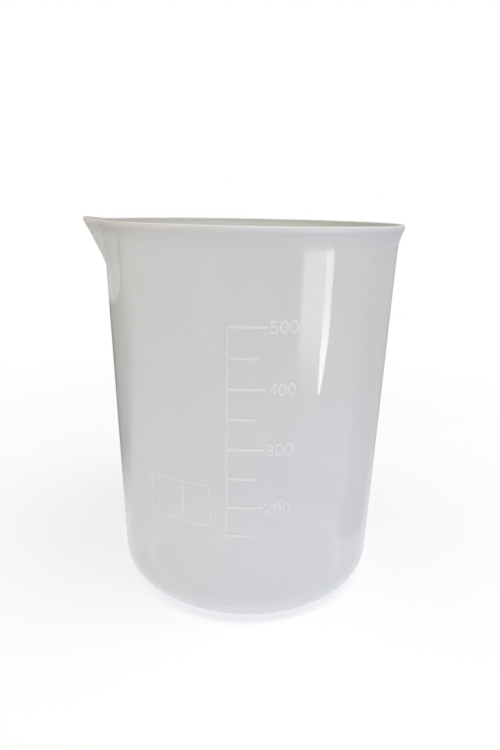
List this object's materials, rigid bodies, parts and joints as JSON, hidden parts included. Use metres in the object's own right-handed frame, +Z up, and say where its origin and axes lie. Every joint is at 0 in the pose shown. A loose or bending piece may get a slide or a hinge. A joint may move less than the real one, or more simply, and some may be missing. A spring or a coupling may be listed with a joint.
{
  "type": "graduated beaker",
  "caption": "Tapered round plastic beaker with a flared rim, a pouring spout and a raised volume scale, for holding, measuring and pouring liquids.",
  "frame": {"origin": "on the beaker's axis, in the plane that it stands on", "axes": "+Z up along the beaker's axis, -X towards the tip of the pouring spout, -Y towards the side with the raised scale"},
  "size_m": [0.1011, 0.095, 0.1167],
  "materials": {
    "polypropylene": "translucent, milky, satin moulded surface",
    "raised_lines": "translucent, the same moulding as the wall, slightly glossier"
  },
  "bodies": {
    "root": {"vessel": "polypropylene", "scale_spine": "raised_lines", "mark_150_ml": "raised_lines", "mark_200_ml": "raised_lines", "mark_250_ml": "raised_lines", "mark_300_ml": "raised_lines", "mark_350_ml": "raised_lines", "mark_400_ml": "raised_lines", "mark_450_ml": "raised_lines", "mark_500_ml": "raised_lines", "panel_frame": "raised_lines", "panel_divider": "raised_lines"}
  },
  "joints": []
}
